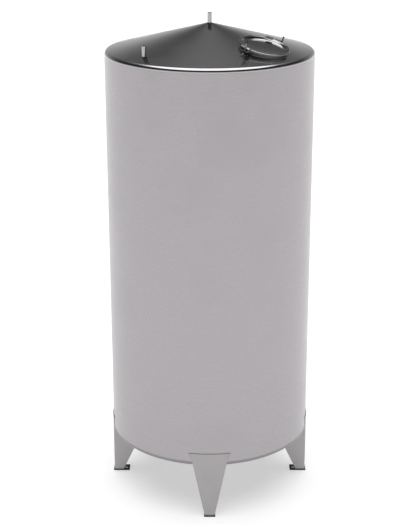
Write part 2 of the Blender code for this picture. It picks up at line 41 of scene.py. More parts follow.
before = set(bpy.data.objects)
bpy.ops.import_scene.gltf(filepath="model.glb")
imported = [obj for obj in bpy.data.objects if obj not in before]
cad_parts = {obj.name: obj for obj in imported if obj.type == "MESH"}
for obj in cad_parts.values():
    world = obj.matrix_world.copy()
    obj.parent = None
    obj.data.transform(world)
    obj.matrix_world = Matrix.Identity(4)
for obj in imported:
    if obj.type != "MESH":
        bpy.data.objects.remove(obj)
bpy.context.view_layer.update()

# The vessel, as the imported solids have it
SHELL_RADIUS = 0.900
SHELL_BOTTOM = 0.5424
SHELL_TOP = 3.9836
SHELL_EDGE = 0.0004
SHELL_ROWS = 24
HEAD_SKIRT = 0.010
SHEET = 0.003
CONE_ANGLE = math.radians(14.65)
KNUCKLE_RADIUS = 0.032
GAP = 0.0003
KNUCKLE_DROP = KNUCKLE_RADIUS * math.cos(CONE_ANGLE)
CONE_EDGE = SHELL_RADIUS - KNUCKLE_RADIUS * (1.0 - math.sin(CONE_ANGLE))
CONE_RISE = CONE_EDGE * math.tan(CONE_ANGLE)
HEAD_HEIGHT = HEAD_SKIRT + KNUCKLE_DROP + CONE_RISE
ROOF_APEX = SHELL_TOP + HEAD_HEIGHT + GAP
BOTTOM_APEX = SHELL_BOTTOM - HEAD_HEIGHT - GAP

# The flat seams between the shell and the heads, and the upright seam's ends
SEAM_HALF = 0.0022
SEAM_PROUD = 0.0002
SEAM_DEPTH = 0.0012
SEAM_SINK = 0.0006
SEAM_END = 0.004

# Legs and feet
FOOT_HEIGHT = 0.010
FOOT_EDGE = 0.0012
LEG_SHEET = 0.006
LEG_INSET = 0.0002
LEG_FOLD_RADIUS = 0.010
LEG_FOOT_WIDTH = 0.090
LEG_EDGE_WIDTH = 0.304
LEG_LAP_WIDTH = 0.372
LEG_BOTTOM = FOOT_HEIGHT + GAP
LEG_EDGE_HEIGHT = 0.5255
LEG_LAP_TOP = 0.620
LAP_WELD_SEAT = 0.0006
LAP_WELD_INSET = 0.0028
FLANGE_FOOT_DEPTH = 0.080
FLANGE_LEAN = 0.43
LEG_TURNS = {"right": 0.0, "back": 90.0, "left": 180.0, "front": 270.0}

# Pipe stubs
STUB_RADIUS = 0.019
STUB_WALL = 0.0015
STUB_LIP = 0.0005
# How far into the wall the bore's painted shade reaches, as a share of the wall
STUB_SHADED_BORE_SHARE = 0.75
STUB_INSIDE = 0.030
HOLE_OVERLAP = 0.0005
VENT_HEIGHT = 0.0795
NOZZLE_HEIGHT = 0.082
NOZZLE_DISTANCE = 0.748
NOZZLE_AZIMUTH = math.radians(-45.68)
DRAIN_RADIUS = 0.0255
DRAIN_LENGTH = 0.080

# Manway, hinge and latch: heights are along the manway's own axis, over the roof
MANWAY_DISTANCE = 0.605
MANWAY_AZIMUTH = math.radians(47.4)
NECK_RADIUS = 0.203
NECK_TOP = 0.0252
NECK_BOTTOM = -0.040
NECK_LIP_RADIUS = 0.2085
NECK_LIP_HEIGHT = 0.005
NECK_EDGE = 0.0012
NECK_WELD_GAP = 0.0004
GASKET_INNER = 0.1975
GASKET_OUTER = 0.2065
GASKET_EDGE = 0.002
LID_RADIUS = 0.2127
LID_TOP = 0.036
LID_SHEET = 0.0025
LID_CURL = 0.0045
LID_SHOULDER = (0.197, 0.030)
LID_SHOULDER_RADIUS = 0.006
LID_CORNER = (0.172, 0.026)
LID_CORNER_RADIUS = 0.012
LID_DISH_BOTTOM = 0.008
LID_DISH_BEND = 2.5
HINGE_ANGLE = math.radians(111.0)
HINGE_RADIUS = 0.230
HINGE_HEIGHT = 0.027
HINGE_SHIFT = 0.0305
PIN_RADIUS = 0.006
PIN_HALF = 0.037
PIN_TAIL = 0.010
PIN_TRIM = 0.0017
PIN_REACH = 0.0615
PIN_BEND = 0.010
PIN_HANDLE = 0.030
PIN_LEAN = math.radians(10.0)
KNOB_RADIUS = 0.0085
KNOB_SEAT = 0.8
LATCH_ANGLE = math.radians(-94.0)
LATCH_RADIUS = 0.225
SCREW_RADIUS = 0.006
SCREW_BOTTOM = -0.002
SCREW_TOP = 0.074
SCREW_CORE = SCREW_RADIUS - 0.0006
SCREW_POINT = 0.0018
SCREW_POINT_HEIGHT = 0.002
SCREW_EDGE = 0.0006
WING_EDGE = 0.0010
COLLAR_RADIUS = 0.011
COLLAR_BOTTOM = 0.0416
COLLAR_TOP = 0.0486
THREAD_PITCH = 0.00175
THREAD_RIDGE = 0.0007
LOWER_THREAD = (SCREW_BOTTOM + 0.0025, 0.0365)
UPPER_THREAD = (COLLAR_TOP + 0.001, SCREW_TOP - COLLAR_TOP - 0.003)

# Shading and clean-up
SHARP_ANGLE = 32.0
THREAD_SHARP_ANGLE = 30.0
CUT_SHARP_ANGLE = 40.0
SOFT_SHARP_ANGLE = 50.0
ROUND_SHARP_ANGLE = 60.0
BEVEL_ANGLE = math.radians(50.0)
FLAT_ANGLE = math.radians(0.5)
MERGE = 1e-5
POLE_MERGE = 2e-5

# Brightness of the studio by height, as (degrees, share of white), and the edges of its parts in degrees
HORIZON_GLOW = ((0.0, 0.62), (8.0, 0.56), (12.0, 0.46), (16.0, 0.35), (20.0, 0.26), (25.0, 0.16), (31.0, 0.10),
                (36.0, 0.15), (40.0, 0.30), (90.0, 0.30))
AHEAD_EDGE = (35.0, 60.0)
SIDE_SHARE = 0.20
SKIRTING_EDGE = (2.0, 11.0)
SKIRTING_SHARE = 0.9
SOFTBOX_EDGE = (47.0, 57.0)


# Properties that a user would change


def color_property(name, description, color):
    """A colour."""
    return FloatVectorProperty(name=name, description=description, subtype="COLOR", default=color, size=3)


def length_property(name, description, length):
    """A length in metres."""
    return FloatProperty(name=name, description=description, default=length, unit="LENGTH")


class TankSheetSettings(bpy.types.PropertyGroup):
    """How finely the sheet pieces are made."""

    round_steps: IntProperty(name="Round steps", description="Facets round the vessel", default=192, min=48)
    ring_steps: IntProperty(name="Ring steps", description="Facets round the manway and the stubs", default=128, min=24)
    fold_steps: IntProperty(name="Fold steps", description="Facets in each fold of a leg", default=8, min=3)
    edge_round: length_property("Edge round", "Radius on the edges of cut plate", 0.0008)


class TankWeldSettings(bpy.types.PropertyGroup):
    """The sizes of the weld beads."""

    neck: length_property("Neck bead", "Radius of the bead round the manway's neck", 0.0026)
    legs: length_property("Leg bead", "Radius of the beads on the legs", 0.0022)
    stubs: length_property("Stub bead", "Radius of the beads round the pipe stubs", 0.0020)
    seam: length_property("Seam bead", "Radius of the shell's upright bead", 0.0016)
    ripple: length_property("Ripple", "Length of one ripple of a bead", 0.0036)
    depth: FloatProperty(name="Ripple depth", description="How deep the ripples are", default=0.16, subtype="FACTOR")


class TankFinishSettings(bpy.types.PropertyGroup):
    """The colours of the finishes."""

    shell: color_property("Shell", "Satin sheet of the shell", (0.384, 0.365, 0.380))
    heads: color_property("Heads", "Bright sheet of the roof", (0.410, 0.398, 0.405))
    legs: color_property("Legs", "Plate of the legs", (0.370, 0.356, 0.362))
    # Underside: a darker sheet colour than the heads', as painted shade on the bottom under the tank.
    underside_painted_shade: color_property("Underside", "Duller sheet of the bottom", (0.26, 0.252, 0.257))
    # Welds: dark partly as heat tint and mostly as painted contact shade along the beads.
    welds: color_property("Welds", "Weld beads, tinted by heat", (0.15, 0.143, 0.143))
    tubes: color_property("Tubes", "Polished tube", (0.425, 0.415, 0.42))
    # Bores: near black as painted shade inside the tubes; their higher roughness is real.
    bores_painted_shade: color_property("Bores", "Unpolished inside of the tubes", (0.075, 0.072, 0.074))
    lid: color_property("Lid", "Pressed and polished lid", (0.43, 0.42, 0.425))
    fittings: color_property("Fittings", "Satin steel of the fittings", (0.46, 0.45, 0.455))
    dark: color_property("Dark steel", "Handled dark steel", (0.075, 0.072, 0.074))
    # Foot plates: near black as painted dark reflection of the tank's underside; the bare steel at their edges is wear.
    plate_painted_reflection: color_property("Foot coating", "Coating of the foot plates", (0.016, 0.016, 0.017))
    bare: color_property("Bare steel", "Steel where the coating is rubbed through", (0.10, 0.098, 0.098))
    rubber: color_property("Gasket", "Rubber of the gasket", (0.018, 0.018, 0.018))


class TankStudioSettings(bpy.types.PropertyGroup):
    """The camera, floor and light."""

    lens: FloatProperty(name="Lens", description="Focal length in millimetres", default=89.025)
    camera_side: length_property("Camera side", "Camera's X", 0.0030)
    camera_back: length_property("Camera distance", "Camera's distance from the tank's axis", 11.0774)
    camera_height: length_property("Camera height", "Camera's height", 6.0045)
    camera_pitch: FloatProperty(name="Camera pitch", description="How far the camera looks down", subtype="ANGLE",
                                default=math.radians(19.4832))
    floor_radius: length_property("Floor radius", "Size of the floor", 120.0)
    floor_tone: FloatProperty(name="Floor tone", description="Paleness of the floor", default=0.60, subtype="FACTOR")
    floor_glow: FloatProperty(name="Floor glow", description="Light that the floor gives of itself", default=0.515)
    softbox: FloatProperty(name="Softbox", description="Brightness of the overhead softbox", default=2.6)


# Lines of points


def rounded(points, radius, steps=3, closed=True):
    """Round the corners of a line of points."""
    count = len(points)
    line = []
    for index, point in enumerate(points):
        here = Vector(point)
        if not closed and index in (0, count - 1):
            line.append(tuple(here))
            continue
        before = Vector(points[index - 1]) - here
        after = Vector(points[(index + 1) % count]) - here
        reach = min(radius, before.length * 0.45, after.length * 0.45)
        start = here + before.normalized() * reach
        end = here + after.normalized() * reach
        for step in range(steps + 1):
            share = step / steps
            line.append(tuple(start.lerp(here, share).lerp(here.lerp(end, share), share)))
    return line


def arc(center, radius, start, end, steps):
    """Points on an arc, angles in degrees."""
    angles = [math.radians(start + (end - start) * step / steps) for step in range(steps + 1)]
    return [(center[0] + radius * math.cos(angle), center[1] + radius * math.sin(angle)) for angle in angles]


def spread(start, end, steps):
    """Points on a straight line between two points, without the first."""
    return [tuple(Vector(start).lerp(Vector(end), step / steps)) for step in range(1, steps + 1)]


def supported(points, rows=1, closed=True, reach=0.0012, long_run=0.5):
    """Add points near the ends of straight runs, so that a rounded corner's shading ends with it.

    A long run is also divided into rows.
    """
    count = len(points)
    line = []
    for index, point in enumerate(points):
        line.append(point)
        if index == count - 1 and not closed:
            break
        here = Vector(point)
        after = Vector(points[(index + 1) % count])
        length = (after - here).length
        if length > 3.0 * reach:
            start = here.lerp(after, reach / length)
            end = after.lerp(here, reach / length)
            line += [tuple(start)] + (spread(start, end, rows) if length > long_run else [tuple(end)])
    return line


def ring_profile(inner, outer, bottom, top, edge, rows=1):
    """Section of a tube's wall with rounded edges."""
    return supported(rounded([(outer, top), (outer, bottom), (inner, bottom), (inner, top)], edge), rows)


# Meshes


def add_object(name, data):
    """A new object in the scene."""
    piece = bpy.data.objects.new(name, data)
    bpy.context.scene.collection.objects.link(piece)
    return piece


def object_from(shape, name):
    """An object with the mesh of a bmesh, which is freed."""
    mesh = bpy.data.meshes.new(name)
    shape.to_mesh(mesh)
    shape.free()
    return add_object(name, mesh)


def as_plain_mesh(source, name):
    """Turn a piece with its modifiers into a plain mesh object and remove the source."""
    bpy.context.view_layer.update()
    evaluated = source.evaluated_get(bpy.context.evaluated_depsgraph_get())
    mesh = bpy.data.meshes.new_from_object(evaluated)
    mesh.transform(source.matrix_world)
    bpy.data.objects.remove(source, do_unlink=True)
    mesh.name = name
    return add_object(name, mesh)


def clean_mesh(piece, merge=MERGE, from_cad=False):
    """Merge doubled points, and turn the faces outwards or join a CAD solid's flat triangles."""
    shape = bmesh.new()
    shape.from_mesh(piece.data)
    bmesh.ops.remove_doubles(shape, verts=shape.verts, dist=merge)
    bmesh.ops.dissolve_degenerate(shape, edges=shape.edges, dist=merge / 2)
    if from_cad:
        bmesh.ops.dissolve_limit(shape, angle_limit=FLAT_ANGLE, verts=shape.verts, edges=shape.edges)
    else:
        bmesh.ops.recalc_face_normals(shape, faces=shape.faces)
    shape.to_mesh(piece.data)
    shape.free()


def shade(piece, degrees=SHARP_ANGLE):
    """Shade a piece smooth apart from its sharp edges."""
    piece.data.shade_smooth()
    piece.data.set_sharp_from_angle(angle=math.radians(degrees))


def finish_piece(piece, look, slot, body, *nodes):
    """Give a finished piece its finish and body, and hide the nodes that it stands for. The slot is not used."""
    piece.data.materials.clear()
    piece.data.materials.append(finish(look))
    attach(piece, body)
    if nodes:
        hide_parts(*nodes)
    return piece


def line_object(name, points, matrix):
    """A mesh of one line of points, in the XZ plane of a matrix."""
    mesh = bpy.data.meshes.new(name)
    edges = [(index, index + 1) for index in range(len(points) - 1)]
    mesh.from_pydata([(across, 0.0, height) for across, height in points], edges, [])
    piece = add_object(name, mesh)
    piece.matrix_world = matrix
    return piece


def path_object(name, points, closed):
    """A curve through a line of points."""
    curve = bpy.data.curves.new(name, "CURVE")
    curve.dimensions = "3D"
    spline = curve.splines.new("POLY")
    spline.points.add(len(points) - 1)
    for place, point in zip(spline.points, points):
        place.co = (*point, 1.0)
    spline.use_cyclic_u = closed
    return add_object(name, curve)


def skin(shape, rows, closed):
    """Faces between rows of vertices, round each row if it is closed."""
    count = len(rows[0])
    for lower, upper in zip(rows, rows[1:]):
        for index in range(count if closed else count - 1):
            other = (index + 1) % count
            shape.faces.new((lower[index], lower[other], upper[other], upper[index]))


def swept(name, points, radius, sides, end_share=0.72):
    """A round bar along a line of points, with closed rounded ends."""
    line = [Vector(point) for point in points]
    turns = [math.tau * step / sides for step in range(sides)]
    inset = radius * (1.0 - end_share)
    shape = bmesh.new()
    rings = []
    normal = None
    for index, place in enumerate(line):
        along = (line[min(index + 1, len(line) - 1)] - line[max(index - 1, 0)]).normalized()
        if normal is None:
            normal = along.orthogonal().normalized()
        normal = (normal - along * normal.dot(along)).normalized()
        side = along.cross(normal)
        around = [normal * math.cos(turn) + side * math.sin(turn) for turn in turns]
        ends = [(0.0, radius)]
        if index == 0:
            ends = [(0.0, radius * end_share), (inset, radius)]
        if index == len(line) - 1:
            ends = [(-inset, radius), (0.0, radius * end_share)]
        for shift, size in ends:
            rings.append([shape.verts.new(place + along * shift + out * size) for out in around])
    skin(shape, rings, closed=True)
    shape.faces.new(rings[0])
    shape.faces.new(rings[-1])
    bmesh.ops.recalc_face_normals(shape, faces=shape.faces)
    return object_from(shape, name)


def thicken(piece, thickness):
    """Give an open sheet its thickness, inwards."""
    sheet = piece.modifiers.new("Sheet", "SOLIDIFY")
    sheet.thickness = thickness
    sheet.offset = -1.0
    sheet.use_even_offset = True


def cylinder_cutter(name, radius, reach, steps, matrix):
    """A plain cylinder for cutting, centred on a matrix and along its Z axis."""
    shape = bmesh.new()
    bmesh.ops.create_cone(shape, cap_ends=True, segments=steps, radius1=radius, radius2=radius, depth=2.0 * reach,
                          matrix=matrix)
    return object_from(shape, name)


def cut_away(piece, cutters):
    """Take shapes out of a piece, and remove them."""
    for cutter in cutters:
        boolean = piece.modifiers.new(cutter.name, "BOOLEAN")
        boolean.operation = "DIFFERENCE"
        boolean.solver = "EXACT"
        boolean.object = cutter
    made = as_plain_mesh(piece, piece.name)
    for cutter in cutters:
        bpy.data.objects.remove(cutter, do_unlink=True)
    return made


# Nodes


def is_socket(value):
    """Whether a value is a node's socket."""
    return isinstance(value, bpy.types.NodeSocket)


def feed(tree, node, values):
    """Link a node's inputs from sockets, or set them to plain values."""
    for label, value in values.items():
        if is_socket(value):
            tree.links.new(value, node.inputs[label])
        else:
            node.inputs[label].default_value = value
    return node


def add_node(tree, kind, values=None, **settings):
    """A node with its settings and inputs."""
    node = tree.nodes.new(kind)
    for name, value in settings.items():
        setattr(node, name, value)
    return feed(tree, node, values or {})


def operate(tree, operation, first, second=None, kind="ShaderNodeMath"):
    """A math node on one or two values. Gives its output."""
    values = {0: first} if second is None else {0: first, 1: second}
    return add_node(tree, kind, values, operation=operation).outputs[0]


def new_group(name, kind, inputs, outputs):
    """A node group with named sockets. Gives its input's and its output's sockets too."""
    group = bpy.data.node_groups.new(name, kind)
    for label, socket_type, default in inputs:
        socket = group.interface.new_socket(label, in_out="INPUT", socket_type="NodeSocket" + socket_type)
        if default is not None:
            socket.default_value = default
    for label, socket_type in outputs:
        group.interface.new_socket(label, in_out="OUTPUT", socket_type="NodeSocket" + socket_type)
    return group, group.nodes.new("NodeGroupInput").outputs, group.nodes.new("NodeGroupOutput").inputs


def group_of(build):
    """The node group that a function builds under its own name, made on its first use."""
    return bpy.data.node_groups.get(build.__name__) or build(build.__name__)


def geometry_group(name, *inputs):
    """A geometry node group with geometry and a finish in, and geometry out."""
    inputs = (("Geometry", "Geometry", None), *inputs, ("Finish", "Material", None))
    return new_group(name, "GeometryNodeTree", inputs, (("Geometry", "Geometry"),))


def end_tree(tree, geometry, given, output):
    """Close a geometry tree: realize what it holds, smooth it and set its material."""
    realize = add_node(tree, "GeometryNodeRealizeInstances", {"Geometry": geometry})
    smooth = add_node(tree, "GeometryNodeSetShadeSmooth", {"Geometry": realize.outputs["Geometry"]})
    paint = add_node(tree, "GeometryNodeSetMaterial",
                     {"Geometry": smooth.outputs["Geometry"], "Material": given["Finish"]})
    tree.links.new(paint.outputs["Geometry"], output["Geometry"])
    return tree


def sweep(tree, path, radius, sides, swell=1.0):
    """A closed bar along a curve node's curve. Gives its mesh."""
    ring = add_node(tree, "GeometryNodeCurvePrimitiveCircle", {"Resolution": sides, "Radius": radius})
    bar = add_node(tree, "GeometryNodeCurveToMesh",
                   {"Curve": path.outputs["Curve"], "Profile Curve": ring.outputs["Curve"], "Scale": swell,
                    "Fill Caps": True})
    return bar.outputs["Mesh"]


def spun_sheet(name):
    """Spins a line of points round the Z axis: one column of a grid for each point, one row for each step."""
    tree, given, output = geometry_group(name, ("Steps", "Int", 96), ("Closed", "Int", 1))
    size = add_node(tree, "GeometryNodeAttributeDomainSize", {"Geometry": given["Geometry"]})
    points = size.outputs["Point Count"]
    rows = operate(tree, "ADD", given["Steps"], 1.0)
    columns = operate(tree, "ADD", points, given["Closed"])
    grid = add_node(tree, "GeometryNodeMeshGrid", {"Vertices X": columns, "Vertices Y": rows})
    index = add_node(tree, "GeometryNodeInputIndex").outputs["Index"]
    column = operate(tree, "FLOOR", operate(tree, "DIVIDE", operate(tree, "ADD", index, 0.5), rows))
    row = operate(tree, "FLOORED_MODULO", index, rows)
    turn = operate(tree, "MULTIPLY", operate(tree, "DIVIDE", row, given["Steps"]), math.tau)
    position = add_node(tree, "GeometryNodeInputPosition").outputs["Position"]
    sample = add_node(tree, "GeometryNodeSampleIndex",
                      {"Geometry": given["Geometry"], "Value": position,
                       "Index": operate(tree, "FLOORED_MODULO", column, points)}, data_type="FLOAT_VECTOR")
    across, _, height = add_node(tree, "ShaderNodeSeparateXYZ", {0: sample.outputs["Value"]}).outputs
    place = add_node(tree, "ShaderNodeCombineXYZ",
                     {"X": operate(tree, "MULTIPLY", across, operate(tree, "COSINE", turn)),
                      "Y": operate(tree, "MULTIPLY", across, operate(tree, "SINE", turn)), "Z": height})
    move = add_node(tree, "GeometryNodeSetPosition",
                    {"Geometry": grid.outputs["Mesh"], "Position": place.outputs["Vector"]})
    merge = add_node(tree, "GeometryNodeMergeByDistance",
                     {"Geometry": move.outputs["Geometry"], "Distance": POLE_MERGE})
    return end_tree(tree, merge.outputs["Geometry"], given, output)


def weld_bead(name):
    """Sweeps a rippled bead along a path."""
    tree, given, output = geometry_group(name, ("Radius", "Float", 0.0026), ("Ripple", "Float", 0.0036),
                                         ("Depth", "Float", 0.16))
    step = operate(tree, "DIVIDE", given["Ripple"], 3.0)
    path = add_node(tree, "GeometryNodeResampleCurve", {"Curve": given["Geometry"], "Length": step}, mode="LENGTH")
    along = add_node(tree, "GeometryNodeSplineParameter").outputs["Length"]
    share = operate(tree, "FRACT", operate(tree, "DIVIDE", along, given["Ripple"]))
    swell = operate(tree, "SUBTRACT", 1.0, operate(tree, "MULTIPLY", share, given["Depth"]))
    return end_tree(tree, sweep(tree, path, given["Radius"], 7, swell), given, output)


def screw_thread(name):
    """Winds a square ridge round a screw."""
    tree, given, output = geometry_group(name, ("Radius", "Float", SCREW_RADIUS), ("Pitch", "Float", THREAD_PITCH),
                                         ("Length", "Float", 0.03), ("Ridge", "Float", THREAD_RIDGE))
    path = add_node(tree, "GeometryNodeCurveSpiral",
                    {"Resolution": 20, "Rotations": operate(tree, "DIVIDE", given["Length"], given["Pitch"]),
                     "Start Radius": given["Radius"], "End Radius": given["Radius"], "Height": given["Length"]})
    return end_tree(tree, sweep(tree, path, given["Ridge"], 4), given, output)


def tree_piece(source, name, build, look, **values):
    """Run a geometry node group on a source object, and keep the result as a plain mesh."""
    tree = group_of(build)
    modifier = source.modifiers.new(tree.name, "NODES")
    modifier.node_group = tree
    values["Finish"] = finish(look) if look else None
    for item in tree.interface.items_tree:
        if item.item_type == "SOCKET" and item.in_out == "INPUT" and item.name in values:
            modifier[item.identifier] = values[item.name]
    return as_plain_mesh(source, name)


def spun(name, points, steps, look=None, matrix=Matrix.Identity(4), closed=True, degrees=SHARP_ANGLE):
    """A turned shape from a line of points (distance from the axis, height)."""
    source = line_object(name + "_line", points, matrix)
    piece = tree_piece(source, name, spun_sheet, look, Steps=steps, Closed=1 if closed else 0)
    clean_mesh(piece)
    shade(piece, degrees)
    return piece


def turned(name, points, steps, look, slot, body, *nodes, **form):
    """A finished turned piece."""
    return finish_piece(spun(name, points, steps, look, **form), look, slot, body, *nodes)


def bead(name, points, closed, slot, radius):
    """A weld bead along a path."""
    welds = bpy.context.scene.tank_welds
    # Each bead takes the dark weld colour: heat tint and painted contact shade.
    piece = tree_piece(path_object(name + "_path", points, closed), name, weld_bead, "weld_tint_and_painted_shade",
                       Radius=radius, Ripple=welds.ripple, Depth=welds.depth)
    shade(piece, ROUND_SHARP_ANGLE)
    finish_piece(piece, "weld_tint_and_painted_shade", slot, "tank")


def dress(node, name, look, slot, body, edge=None):
    """A cut or machined piece: the node's own shape with rounded edges."""
    piece = add_object(name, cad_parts[node].data.copy())
    clean_mesh(piece, 2e-6, from_cad=True)
    bevel = piece.modifiers.new("Edges", "BEVEL")
    bevel.width = edge or bpy.context.scene.tank_sheet.edge_round
    bevel.segments = 3
    bevel.limit_method = "ANGLE"
    bevel.angle_limit = BEVEL_ANGLE
    piece = as_plain_mesh(piece, name)
    shade(piece, CUT_SHARP_ANGLE)
    finish_piece(piece, look, slot, body, node)


# Materials


def noise(tree, vector, scale, detail, roughness):
    """A noise texture on a vector. Gives its value."""
    values = {"Vector": vector, "Scale": scale, "Detail": detail, "Roughness": roughness}
    return add_node(tree, "ShaderNodeTexNoise", values).outputs["Fac"]


def in_range(tree, value, low, high, to_low, to_high, curve="SMOOTHSTEP"):
    """A value brought from one range into another."""
    values = dict(enumerate((value, low, high, to_low, to_high)))
    return add_node(tree, "ShaderNodeMapRange", values, interpolation_type=curve).outputs["Result"]


def blend_color(tree, share, first, second):
    """A colour between two colours."""
    node = add_node(tree, "ShaderNodeMix", {"Factor": share}, data_type="RGBA")
    sockets = [socket for socket in node.inputs if socket.type == "RGBA"]
    for socket, value in zip(sockets, (first, second)):
        if is_socket(value):
            tree.links.new(value, socket)
        else:
            socket.default_value = (*value, 1.0)
    return next(socket for socket in node.outputs if socket.type == "RGBA")


def rolled_grain(name):
    """Fine lines that rolling or brushing leaves, stretched by Stretch. Tone and Height lie round one half."""
    group, given, output = new_group(name, "ShaderNodeTree",
                                     (("Vector", "Vector", None), ("Stretch", "Vector", (6.0, 6.0, 700.0))),
                                     (("Tone", "Float"), ("Height", "Float")))
    stretched = operate(group, "MULTIPLY", given["Vector"], given["Stretch"], kind="ShaderNodeVectorMath")
    lines = noise(group, stretched, 1.0, 4.0, 0.62)
    bands = noise(group, stretched, 0.11, 2.0, 0.5)
    tone = operate(group, "ADD", operate(group, "MULTIPLY", lines, 0.6), operate(group, "MULTIPLY", bands, 0.4))
    group.links.new(tone, output["Tone"])
    group.links.new(lines, output["Height"])
    return group


def handling_marks(name):
    """Soft cloudy marks where sheet was cleaned and handled. Marks is 0 on clean sheet."""
    group, given, output = new_group(name, "ShaderNodeTree",
                                     (("Vector", "Vector", None), ("Scale", "Float", 2.0)),
                                     (("Marks", "Float"), ("Swell", "Float")))
    cloud = noise(group, given["Vector"], given["Scale"], 3.0, 0.55)
    wide = noise(group, given["Vector"], operate(group, "MULTIPLY", given["Scale"], 0.35), 1.0, 0.5)
    group.links.new(in_range(group, cloud, 0.42, 0.72, 0.0, 1.0), output["Marks"])
    group.links.new(wide, output["Swell"])
    return group


def edge_wear(name):
    """Rubbed edges, from the mesh's own curvature broken up by noise."""
    group, given, output = new_group(name, "ShaderNodeTree",
                                     (("Vector", "Vector", None), ("Scale", "Float", 90.0), ("Low", "Float", 0.52),
                                      ("High", "Float", 0.62)), (("Wear", "Float"),))
    curve = add_node(group, "ShaderNodeNewGeometry").outputs["Pointiness"]
    broken = noise(group, given["Vector"], given["Scale"], 4.0, 0.6)
    shifted = operate(group, "ADD", curve, in_range(group, broken, 0.3, 0.7, -0.06, 0.03, "LINEAR"))
    group.links.new(in_range(group, shifted, given["Low"], given["High"], 0.0, 1.0), output["Wear"])
    return group


def place_group(tree, build, place, **values):
    """Put a shader group in a material with its own values. Gives its outputs."""
    return add_node(tree, "ShaderNodeGroup", {"Vector": place, **values}, node_tree=group_of(build)).outputs


def new_material(name, metallic, specular=0.5):
    """A material with its Principled shader and object coordinates."""
    material = bpy.data.materials.new(name)
    material.use_nodes = True
    tree = material.node_tree
    shader = feed(tree, tree.nodes["Principled BSDF"], {"Metallic": metallic, "Specular IOR Level": specular})
    return material, tree, shader, add_node(tree, "ShaderNodeTexCoord").outputs["Object"]


def bump(tree, height, distance=1.0):
    """A normal from a height."""
    return add_node(tree, "ShaderNodeBump", {"Height": height, "Distance": distance, "Strength": 1.0}).outputs["Normal"]


def toned(color, factor, lift=0.0):
    """A colour made darker or lighter, no brighter than white."""
    return [min(channel * factor + lift, 1.0) for channel in color]


def steel(name, color, roughness, stretch, depth, contrast=0.05, marks=0.05, mark_scale=2.0, wave=0.0, brush=0.0):
    """Stainless steel: rolled grain, soft handling marks and, on sheet, a slow wave and a brush round its axis."""
    material, tree, shader, place = new_material(name, 1.0)
    if brush:
        around = add_node(tree, "ShaderNodeTangent", direction_type="RADIAL", axis="Z")
        feed(tree, shader, {"Tangent": around.outputs["Tangent"], "Anisotropic": brush})
    grain = place_group(tree, rolled_grain, place, Stretch=stretch)
    soft = place_group(tree, handling_marks, place, Scale=mark_scale)
    grained = blend_color(tree, grain["Tone"], toned(color, 1.0 - contrast), toned(color, 1.0 + contrast))
    marked = blend_color(tree, operate(tree, "MULTIPLY", soft["Marks"], 0.6), grained, toned(color, 1.0 - marks))
    rough = in_range(tree, grain["Tone"], 0.3, 0.7, roughness * 0.9, roughness * 1.12, "LINEAR")
    rough = operate(tree, "ADD", rough, operate(tree, "MULTIPLY", soft["Marks"], roughness * 0.12))
    height = operate(tree, "MULTIPLY", grain["Height"], depth)
    if wave:
        height = operate(tree, "ADD", height, operate(tree, "MULTIPLY", soft["Swell"], wave))
    feed(tree, shader, {"Base Color": marked, "Roughness": rough, "Normal": bump(tree, height)})
    return material


def painted_reflection_plate(name, color, bare):
    """A near-black plate colour as painted dark reflection, with a steel colour where its edges are worn through."""
    material, tree, shader, place = new_material(name, 0.0, 0.4)
    worn = place_group(tree, edge_wear, place, Scale=60.0)["Wear"]
    marks = place_group(tree, handling_marks, place, Scale=30.0)["Marks"]
    dusty = blend_color(tree, marks, color, toned(color, 1.9, 0.004))
    feed(tree, shader, {"Base Color": blend_color(tree, worn, dusty, bare),
                        "Roughness": in_range(tree, marks, 0.0, 1.0, 0.38, 0.55),
                        "Metallic": operate(tree, "MULTIPLY", worn, 0.8),
                        "Normal": bump(tree, noise(tree, place, 900.0, 3.0, 0.6), 0.00004)})
    return material


def handled(name, color):
    """Dark steel, rubbed brighter where hands and tools reach its edges."""
    material, tree, shader, place = new_material(name, 1.0)
    worn = place_group(tree, edge_wear, place, Scale=160.0, Low=0.53)["Wear"]
    marks = place_group(tree, handling_marks, place, Scale=60.0)["Marks"]
    marked = blend_color(tree, marks, color, toned(color, 1.3))
    feed(tree, shader, {"Base Color": blend_color(tree, worn, marked, toned(color, 3.0)),
                        "Roughness": in_range(tree, marks, 0.0, 1.0, 0.26, 0.40),
                        "Normal": bump(tree, noise(tree, place, 700.0, 3.0, 0.6), 0.00003)})
    return material


def rubber(name, color):
    """Matt moulded rubber."""
    material, tree, shader, place = new_material(name, 0.0, 0.35)
    marks = place_group(tree, handling_marks, place, Scale=40.0)["Marks"]
    feed(tree, shader, {"Base Color": blend_color(tree, marks, color, toned(color, 2.0, 0.006)),
                        "Roughness": in_range(tree, marks, 0.0, 1.0, 0.62, 0.78),
                        "Normal": bump(tree, noise(tree, place, 1200.0, 4.0, 0.65), 0.00005)})
    return material


